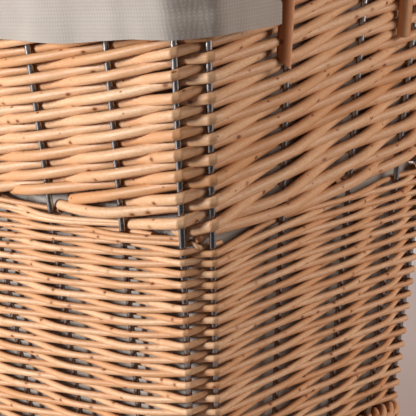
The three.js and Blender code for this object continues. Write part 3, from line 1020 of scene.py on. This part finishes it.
class BASKET_OT_liner(bpy.types.Operator):
    """Hang the cotton liner in the basket and fold its cuff over the rim"""

    bl_idname = "basket.liner"
    bl_label = "Liner"

    def execute(self, context):
        s = sizes()
        cloth = self.sew_bag()
        self.crease(cloth)
        self.map_threads(cloth)
        thicken = cloth.modifiers.new("cloth_thickness", "SOLIDIFY")
        thicken.thickness = s.cloth
        thicken.offset = 0
        bpy.ops.object.modifier_apply(modifier=thicken.name)
        bpy.ops.object.shade_smooth_by_angle(angle=math.radians(60))
        take_place(cloth, "liner", "liner_cotton", body="liner")
        return {"FINISHED"}

    def sew_bag(self):
        """Floor panel, walls up the inside, over the border and down outside it."""
        s = sizes()
        low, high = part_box("liner")
        border = BORDER_SIDE
        floor = low.z + 0.8 * MM
        over = high.z - 0.8 * MM
        cuff = s.rim_height - s.cuff_drop
        rim_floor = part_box("rim_border")[0].z
        profile = [(LOW_WALL - 6 * MM, floor), (LOW_WALL, floor + 6 * MM)]
        for z in np.linspace(floor + 16 * MM, rim_floor - 14 * MM, 34):
            profile.append((LOW_WALL if z < s.seam_height - 4 * MM else HIGH_WALL, z))
        last_wall_ring = len(profile)
        profile += [(-border, rim_floor), (-border, over - 6 * MM), (-border + 4 * MM, over - 1.5 * MM),
                    (-border + 8 * MM, over), (0, over), (border - 8 * MM, over),
                    (border - 4 * MM, over - 1.5 * MM), (border, over - 6 * MM)]
        hem = cuff + HEM_DEPTH
        profile += [(border + CUFF_OUT, z) for z in np.linspace(over - 14 * MM, hem + 1 * MM, 9)]
        profile += [(border + HEM_OUT, z) for z in (hem, cuff + 6 * MM, cuff)]
        count = 360
        rings = [rounded_outline(z, offset, count) for offset, z in profile]
        mesh = bpy.data.meshes.new("cotton_liner")
        vertices = np.concatenate(rings)
        faces = []
        for j in range(len(rings) - 1):
            for i in range(count):
                after = (i + 1) % count
                faces.append((j * count + i, j * count + after, (j + 1) * count + after,
                              (j + 1) * count + i))
        outer = 0
        for share in np.linspace(0.94, 0.04, 16):
            inner = len(vertices)
            vertices = np.concatenate([vertices, rings[0] * np.array((share, share, 1))])
            for i in range(count):
                after = (i + 1) % count
                faces.append((inner + i, inner + after, outer + after, outer + i))
            outer = inner
        faces.append(tuple(outer + i for i in range(count)))
        # The cuff is cut away at each handle, while the bag's wall runs on up inside the rim border
        notch = s.handle_span / 2 + s.handle_rod / 2 + s.wrap + NOTCH_MARGIN
        kept = []
        for number, face in enumerate(faces):
            middle = vertices[list(face)].mean(0)
            beyond = abs(middle[0]) - s.rim_width / 2 * scale_at(middle[2])
            if number // count > last_wall_ring and abs(middle[1]) < notch and beyond > -13.5 * MM:
                continue
            kept.append(face)
        mesh.from_pydata(vertices.tolist(), [], kept)
        return link_piece(mesh, bpy.ops.mesh.delete_loose)

    def crease(self, cloth):
        """Soft folds, deepest half way up the walls, a rumpled floor and a slight ripple in the cuff;
        depths in millimetres and folds per metre."""
        s = sizes()
        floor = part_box("liner")[0].z + 0.8 * MM
        for vertex in cloth.data.vertices:
            x, y, z = vertex.co
            half_w = s.rim_width / 2 * scale_at(z)
            half_d = s.rim_depth / 2 * scale_at(z)
            beyond = max(abs(x) - half_w, abs(y) - half_d)
            outward = Vector((x / half_w ** 2, y / half_d ** 2, 0)).normalized()
            if beyond > 0 and z < s.rim_height - 6 * MM:
                depth = (s.rim_height - z) / s.cuff_drop
                ripple = noise.noise(Vector((x * 22, y * 22, z * 4)))
                pucker = noise.noise(Vector((x * 95, y * 95, z * 30)))
                vertex.co += outward * (max(0.0, 0.3 + ripple) * 8 + pucker * 0.9) * MM * depth
                vertex.co.z += noise.noise(Vector((x * 16, y * 16, 5))) * 2.4 * MM * depth
            elif z < floor + 1 * MM:
                rumple = noise.noise(Vector((x * 12, y * 12, 3)))
                line = abs(noise.noise(Vector((x * 8 + 3, y * 10, 8))))
                ridge = max(0.0, 1 - line / 0.13) ** 1.5
                inset = min(1.0, max(0.0, (-beyond - 14 * MM) / (30 * MM)))
                vertex.co.z += (max(0.0, rumple) * 16 + ridge * 7) * MM * inset
            elif beyond < 0 and z > 30 * MM:
                height = (z - 30 * MM) / (s.rim_height - 70 * MM)
                belly = max(0.0, math.sin(math.pi * min(1.0, max(0.0, height))))
                fold = noise.noise(Vector((x * 13, y * 13, z * 3.5)))
                fine = noise.noise(Vector((x * 50, y * 50, z * 20)))
                line = abs(noise.noise(Vector((x * 11 + 7, y * 11, z * 2.2))))
                pleat = max(0.0, 1 - line / 0.14) ** 1.5
                inwards = max(0.0, 0.1 + fold) * 8 + pleat * 5 + max(0.0, fine)
                vertex.co -= outward * inwards * MM * belly

    def map_threads(self, cloth):
        """A UV map in metres, laid square to the threads on each panel."""
        mesh = cloth.data
        uv_map = mesh.uv_layers.new(name="ClothUV")
        for face in mesh.polygons:
            n = face.normal
            for loop in face.loop_indices:
                p = mesh.vertices[mesh.loops[loop].vertex_index].co
                if abs(n.z) > 0.8:
                    uv_map.data[loop].uv = (p.x, p.y)
                elif abs(n.x) > abs(n.y):
                    uv_map.data[loop].uv = (p.y, p.z)
                else:
                    uv_map.data[loop].uv = (p.x, p.z)


# The studio

BACKDROP = hex_colour("#9D8A82")


def background_rays(tree):
    """1 for the rays that see the background: the camera's, and those that metal reflects."""
    ray = add_node(tree, "ShaderNodeLightPath")
    seen = ray.outputs["Is Camera Ray"]
    for kind in ("Is Glossy Ray", "Is Transmission Ray"):
        seen = add_node(tree, "ShaderNodeMath", {0: seen, 1: ray.outputs[kind]},
                        operation="MAXIMUM").outputs["Value"]
    return seen


class BASKET_OT_studio(bpy.types.Operator):
    """Set up the pale floor, the soft lamps and the camera at the photographed corner"""

    bl_idname = "basket.studio"
    bl_label = "Studio"

    def execute(self, context):
        bpy.ops.object.select_all(action="DESELECT")
        self.floor()
        self.black_card()
        self.backdrop(context)
        self.lamps(context)
        self.camera(context)
        context.scene.view_settings.view_transform = "Standard"
        return {"FINISHED"}

    def floor(self):
        bpy.ops.mesh.primitive_plane_add(size=12)
        ground = bpy.context.object
        ground.name = "studio_floor"
        material, tree = new_material("pale_backdrop_paper")
        paper = add_node(tree, "ShaderNodeBsdfPrincipled",
                         {"Base Color": hex_colour("#C6B6B2"), "Roughness": 0.9})
        # Far from the basket the paper keeps one tone, so no edge shows where the floor ends
        where = add_node(tree, "ShaderNodeTexCoord")
        reach = add_node(tree, "ShaderNodeVectorMath", {"Vector": where.outputs["Object"]},
                         operation="LENGTH")
        far = add_node(tree, "ShaderNodeMapRange", {"Value": reach, "From Min": 0.9, "From Max": 2.6},
                       interpolation_type="SMOOTHSTEP")
        share = add_node(tree, "ShaderNodeMath", {0: far, 1: background_rays(tree)}, operation="MULTIPLY")
        even = add_node(tree, "ShaderNodeEmission", {"Color": BACKDROP, "Strength": 1.0})
        mixed = add_node(tree, "ShaderNodeMixShader", {0: share, 1: paper, 2: even})
        add_node(tree, "ShaderNodeOutputMaterial", {"Surface": mixed})
        ground.data.materials.append(material)

    def black_card(self):
        """A black card before the corner, which darkens the wires' middle and the crevices."""
        bpy.ops.mesh.primitive_plane_add(size=1, location=(1.0, -1.0, 0.003))
        card = bpy.context.object
        card.name = "studio_black_card"
        card.scale = (2.1, 1.5, 1)
        card.rotation_euler = (0, 0, math.radians(-45))
        bpy.ops.object.transform_apply(location=True, rotation=True, scale=True)
        material, tree = new_material("black_felt")
        shader = add_node(tree, "ShaderNodeBsdfPrincipled",
                          {"Base Color": hex_colour("#26292D"), "Roughness": 0.95})
        add_node(tree, "ShaderNodeOutputMaterial", {"Surface": shader})
        card.data.materials.append(material)
        card.visible_camera = False
        card.visible_shadow = False

    def backdrop(self, context):
        world = bpy.data.worlds.new("studio")
        world.use_nodes = True
        tree = world.node_tree
        tree.nodes.clear()
        ambient = add_node(tree, "ShaderNodeBackground", {"Color": hex_colour("#E9E6E6"), "Strength": 0.03})
        seen = add_node(tree, "ShaderNodeBackground", {"Color": BACKDROP, "Strength": 1.0})
        mixed = add_node(tree, "ShaderNodeMixShader", {0: background_rays(tree), 1: ambient, 2: seen})
        add_node(tree, "ShaderNodeOutputWorld", {"Surface": mixed})
        context.scene.world = world

    def lamps(self, context):
        """Soft square lamps aimed at the middle of the basket: place, width, watts and tint."""
        middle = Vector((0.0, 0.0, 0.22))
        for name, place, width, power, code in (
                ("key_lamp", (-0.91, -1.85, 0.7), 0.45, 60, "#FFFDFA"),
                ("right_lamp", (2.12, 1.0, 0.75), 1.2, 33, "#FFF1E6"),
                ("back_lamp", (-1.6, 1.5, 0.95), 1.3, 40, "#FFFDFA"),
                ("top_lamp", (-0.2, 0.1, 2.3), 1.4, 8, "#FFFDFA")):
            data = bpy.data.lights.new(name, "AREA")
            data.size = width
            data.energy = power
            data.color = hex_colour(code)[:3]
            lamp = bpy.data.objects.new(name, data)
            context.scene.collection.objects.link(lamp)
            lamp.location = place
            lamp.rotation_mode = "QUATERNION"
            lamp.rotation_quaternion = (middle - Vector(place)).to_track_quat("-Z", "Y")

    def camera(self, context):
        """The photograph's view: from in front and to the right, a little above, tilted by 5 degrees."""
        data = bpy.data.cameras.new("camera")
        data.sensor_width = 36
        data.lens = 130.6
        data.clip_start = 0.05
        camera = bpy.data.objects.new("camera", data)
        context.scene.collection.objects.link(camera)
        place = Vector((0.84733, -0.84996, 0.44228))
        yaw, pitch, roll = (math.radians(a) for a in (40.9, 12.35, 4.97))
        ahead = Vector((-math.sin(yaw) * math.cos(pitch), math.cos(yaw) * math.cos(pitch),
                        -math.sin(pitch)))
        right = Vector((math.cos(yaw), math.sin(yaw), 0))
        down = ahead.cross(right)
        tilted_right = right * math.cos(roll) + down * math.sin(roll)
        tilted_down = down * math.cos(roll) - right * math.sin(roll)
        turn = Matrix((tilted_right, -tilted_down, -ahead)).transposed()
        camera.matrix_world = Matrix.Translation(place) @ turn.to_4x4()
        context.scene.camera = camera


class BASKET_PT_panel(bpy.types.Panel):
    """Lists the basket's pieces, sizes and colours"""

    bl_idname = "BASKET_PT_panel"
    bl_label = "Wicker basket"
    bl_space_type = "VIEW_3D"
    bl_region_type = "UI"
    bl_category = "Basket"

    def draw(self, context):
        layout = self.layout
        for operator in STEPS:
            layout.operator(operator.bl_idname)
        for group in (context.scene.basket_sizes, context.scene.basket_colours):
            box = layout.box()
            for name in group.__annotations__:
                box.prop(group, name)


STEPS = (
    BASKET_OT_studio,
    BASKET_OT_wire_frame,
    BASKET_OT_thick_weave,
    BASKET_OT_thin_weave,
    BASKET_OT_base_mat,
    BASKET_OT_foot_border,
    BASKET_OT_rim_border,
    BASKET_OT_handles,
    BASKET_OT_liner,
)
CLASSES = (BasketSizes, BasketColours, *STEPS, BASKET_PT_panel)


def register():
    for item in CLASSES:
        bpy.utils.register_class(item)
    bpy.types.Scene.basket_sizes = bpy.props.PointerProperty(type=BasketSizes)
    bpy.types.Scene.basket_colours = bpy.props.PointerProperty(type=BasketColours)


def unregister():
    del bpy.types.Scene.basket_colours
    del bpy.types.Scene.basket_sizes
    for item in reversed(CLASSES):
        bpy.utils.unregister_class(item)


def main():
    register()
    bpy.ops.object.select_all(action="DESELECT")
    bpy.ops.basket.studio()
    bpy.ops.basket.wire_frame()
    bpy.ops.basket.thick_weave()
    bpy.ops.basket.thin_weave()
    bpy.ops.basket.base_mat()
    bpy.ops.basket.foot_border()
    bpy.ops.basket.rim_border()
    bpy.ops.basket.handles()
    bpy.ops.basket.liner()


if __name__ == "__main__":
    main()
